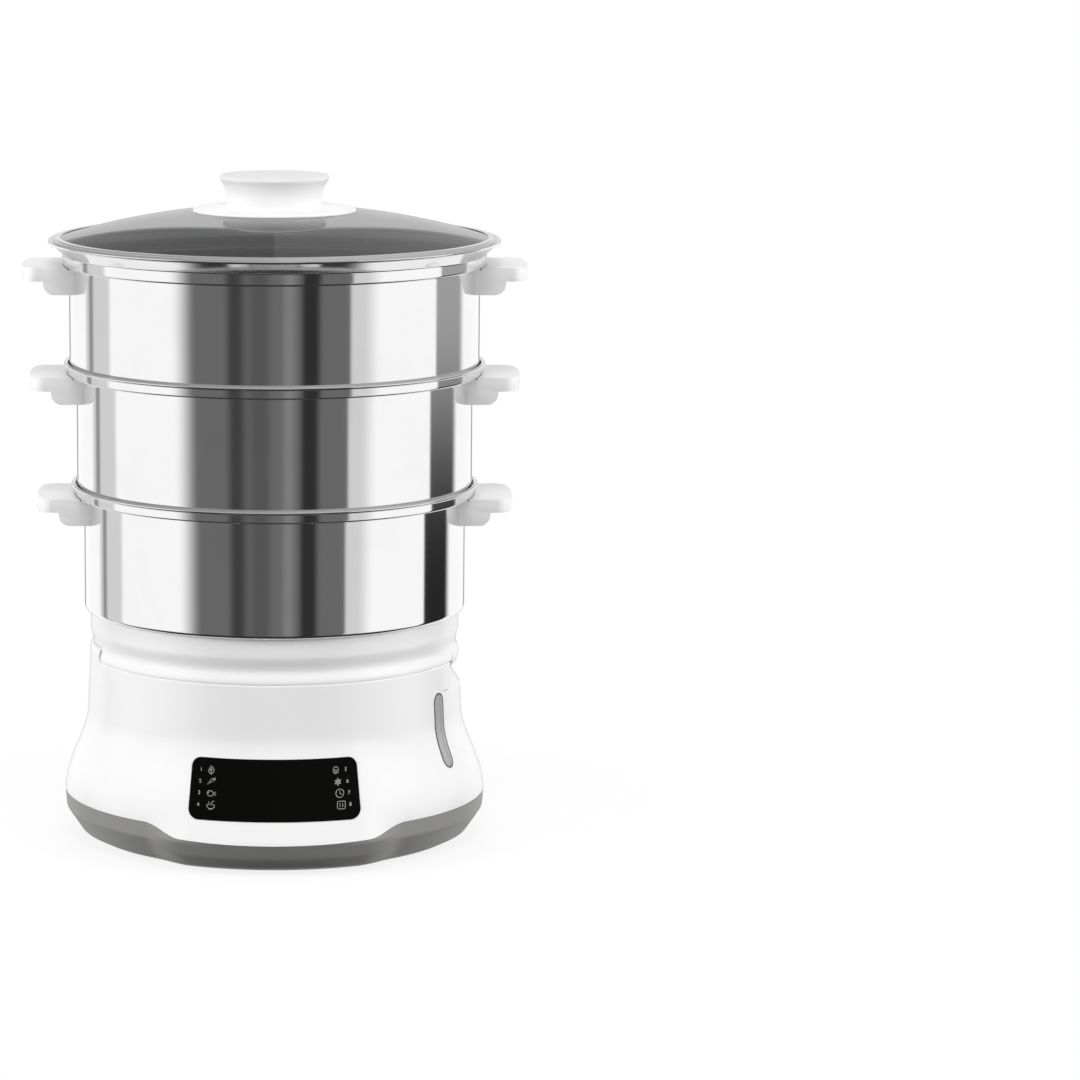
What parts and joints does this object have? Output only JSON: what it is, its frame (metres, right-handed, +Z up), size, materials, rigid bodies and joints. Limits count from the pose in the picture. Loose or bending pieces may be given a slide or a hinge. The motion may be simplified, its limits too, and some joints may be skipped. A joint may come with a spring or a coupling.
{
  "type": "electric food steamer",
  "caption": "Tiered electric steamer: flared white base with touch panel and level window, drip tray, nesting polished steel bowls with side handles, domed glass lid.",
  "frame": {"origin": "on the table under the middle of the steamer", "axes": "+Z up, the control panel faces -Y, the bowl handles stand out along +X and -X"},
  "size_m": [0.3014, 0.27, 0.3983],
  "materials": {
    "white_shell": "glossy white moulded polypropylene",
    "white_grip": "fine satin white moulded plastic",
    "grey_shell": "satin warm grey moulded plastic",
    "black_panel": "glossy black film with light grey printed signs",
    "polished_steel": "mirror-polished stainless steel",
    "satin_steel": "satin stainless steel",
    "lid_glass": "clear tempered glass, faintly smoky",
    "clear_plastic": "clear moulded plastic",
    "dark_seal": "dark grey soft seal",
    "foot_rubber": "matt dark rubber",
    "tank_plastic": "pale grey moulded plastic",
    "zinc_steel": "zinc-plated steel",
    "aluminium_tube": "plain aluminium",
    "circuit_green": "green circuit board",
    "display_black": "dark digit display",
    "part_black": "moulded electronic parts"
  },
  "bodies": {
    "base": {"base_housing": "white_shell", "base_skirt": "grey_shell", "base_plate": "grey_shell", "feet": "foot_rubber", "base_screws": "zinc_steel", "water_tank": "tank_plastic", "heater_plate": "satin_steel", "heater_seal": "foot_rubber", "heating_element": "aluminium_tube", "thermostat": "aluminium_tube", "thermal_fuse": "zinc_steel", "control_panel": "black_panel", "control_board": "circuit_green", "display_module": "display_black", "ribbon_cable": "tank_plastic", "power_board": "circuit_green", "power_parts": "part_black", "level_window": "clear_plastic", "level_window_seal": "dark_seal", "cord_gland": "grey_shell"},
    "drip_tray": {"drip_tray": "white_shell"},
    "bowl_small": {"bowl_wall_small": "polished_steel", "bowl_foot_small": "polished_steel", "bowl_floor_small": "satin_steel", "handle_right_small": "white_grip", "handle_left_small": "white_grip", "handle_screws_small": "zinc_steel"},
    "bowl_medium": {"bowl_wall_medium": "polished_steel", "bowl_foot_medium": "polished_steel", "bowl_floor_medium": "satin_steel", "handle_right_medium": "white_grip", "handle_left_medium": "white_grip", "handle_screws_medium": "zinc_steel"},
    "bowl_large": {"bowl_wall_large": "polished_steel", "bowl_foot_large": "polished_steel", "bowl_floor_large": "satin_steel", "handle_right_large": "white_grip", "handle_left_large": "white_grip", "handle_screws_large": "zinc_steel"},
    "lid": {"lid_rim": "polished_steel", "lid_glass": "lid_glass", "lid_knob": "white_grip", "lid_knob_base": "white_grip", "lid_washer": "foot_rubber", "lid_screw": "zinc_steel"}
  },
  "joints": [
    {"name": "tray_lift", "type": "slide", "parent": "base", "child": "drip_tray", "axis": [0, 0, 1], "range_m": [0, 0.06]},
    {"name": "small_bowl_lift", "type": "slide", "parent": "drip_tray", "child": "bowl_small", "axis": [0, 0, 1], "range_m": [0, 0.06]},
    {"name": "medium_bowl_lift", "type": "slide", "parent": "bowl_small", "child": "bowl_medium", "axis": [0, 0, 1], "range_m": [0, 0.06]},
    {"name": "large_bowl_lift", "type": "slide", "parent": "bowl_medium", "child": "bowl_large", "axis": [0, 0, 1], "range_m": [0, 0.06]},
    {"name": "lid_lift", "type": "slide", "parent": "bowl_large", "child": "lid", "axis": [0, 0, 1], "range_m": [0, 0.08]}
  ]
}
